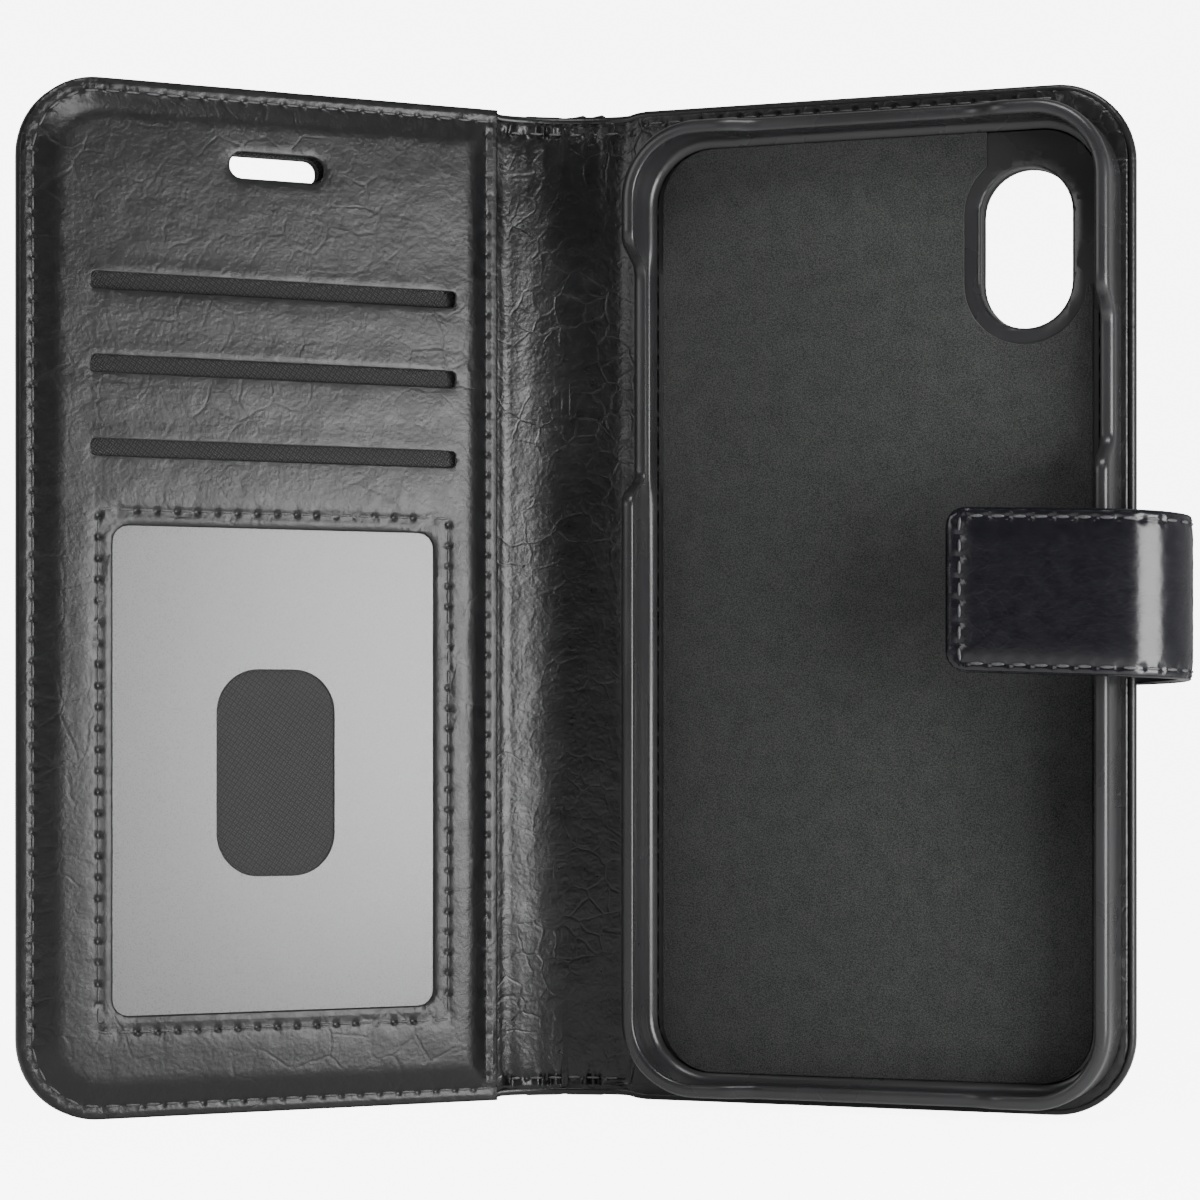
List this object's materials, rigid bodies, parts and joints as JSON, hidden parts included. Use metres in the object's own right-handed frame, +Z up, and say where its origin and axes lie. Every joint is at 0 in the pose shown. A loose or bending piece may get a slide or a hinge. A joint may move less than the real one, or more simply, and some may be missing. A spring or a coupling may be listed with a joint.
{
  "type": "phone wallet case",
  "caption": "Folding leather wallet case for a phone: a cover with card slots and a clear window, a soft spine, a back cover with a phone tray, and a magnetic closing strap.",
  "frame": {"origin": "middle of the back cover's lower edge, half-way through its thickness; the open case stands on its lower edges, like a book", "axes": "+X from the spine to the back cover's free edge with the strap, +Y out of the back cover's outer face, +Z up along the spine towards the phone's top; the inside of the case faces -Y"},
  "size_m": [0.1636, 0.0635, 0.1527],
  "materials": {
    "cover_leather": "fine grain, semi-gloss coated",
    "facing_leather": "fine grain, semi-gloss coated",
    "strap_leather": "smooth, glossy, creased at the bend",
    "greyboard": "matte pressed board",
    "steel_plate": "plain cut steel",
    "magnet": "plated, satin",
    "woven_lining": "plain weave, matte",
    "soft_interlining": "felted, matte",
    "frosted_film": "clear film, frosted",
    "glue_sheet": "tacky, matte",
    "tray_plastic": "moulded, smooth, semi-gloss",
    "flocked_pad": "short flock, matte",
    "thread": "waxed black thread"
  },
  "bodies": {
    "back_cover": {"back_leather": "cover_leather", "back_board": "greyboard", "back_lining": "facing_leather", "back_stitching": "thread", "shell_adhesive": "glue_sheet", "phone_shell": "tray_plastic", "shell_liner": "flocked_pad", "strap_anchor": "strap_leather"},
    "spine": {"spine_leather": "cover_leather", "spine_interlining": "soft_interlining", "spine_lining": "facing_leather", "spine_stitching": "thread"},
    "front_cover": {"front_leather": "cover_leather", "front_board": "greyboard", "closure_plate": "steel_plate", "front_lining": "woven_lining", "card_pocket_top": "woven_lining", "card_pocket_middle": "woven_lining", "card_pocket_bottom": "woven_lining", "id_backing": "woven_lining", "id_window_film": "frosted_film", "pocket_panel": "facing_leather", "window_stitching": "thread", "front_stitching": "thread", "seam_stitching": "thread"},
    "strap_bridge": {"strap_bridge_outer": "strap_leather", "strap_bridge_inner": "strap_leather", "strap_bridge_stitching": "thread"},
    "strap_tab": {"strap_tab_outer": "strap_leather", "strap_tab_inner": "strap_leather", "strap_core": "greyboard", "strap_magnets": "magnet", "strap_stitching": "thread"}
  },
  "joints": [
    {"name": "back_fold", "type": "hinge", "parent": "back_cover", "child": "spine", "pos_m": [-0.0411, 0, 0.07635], "axis": [0, 0, 1], "range_deg": [-112, 68]},
    {"name": "front_fold", "type": "hinge", "parent": "spine", "child": "front_cover", "pos_m": [-0.05792, -0.0068, 0.07635], "axis": [0, 0, 1], "range_deg": [-112, 69.8]},
    {"name": "strap_root", "type": "hinge", "parent": "back_cover", "child": "strap_bridge", "pos_m": [0.0404, -0.0003, 0.07635], "axis": [0, 0, -1], "range_deg": [-120, 0]},
    {"name": "strap_fold", "type": "hinge", "parent": "strap_bridge", "child": "strap_tab", "pos_m": [0.0404, -0.0194, 0.07635], "axis": [0, 0, -1], "range_deg": [-90, 0]}
  ]
}
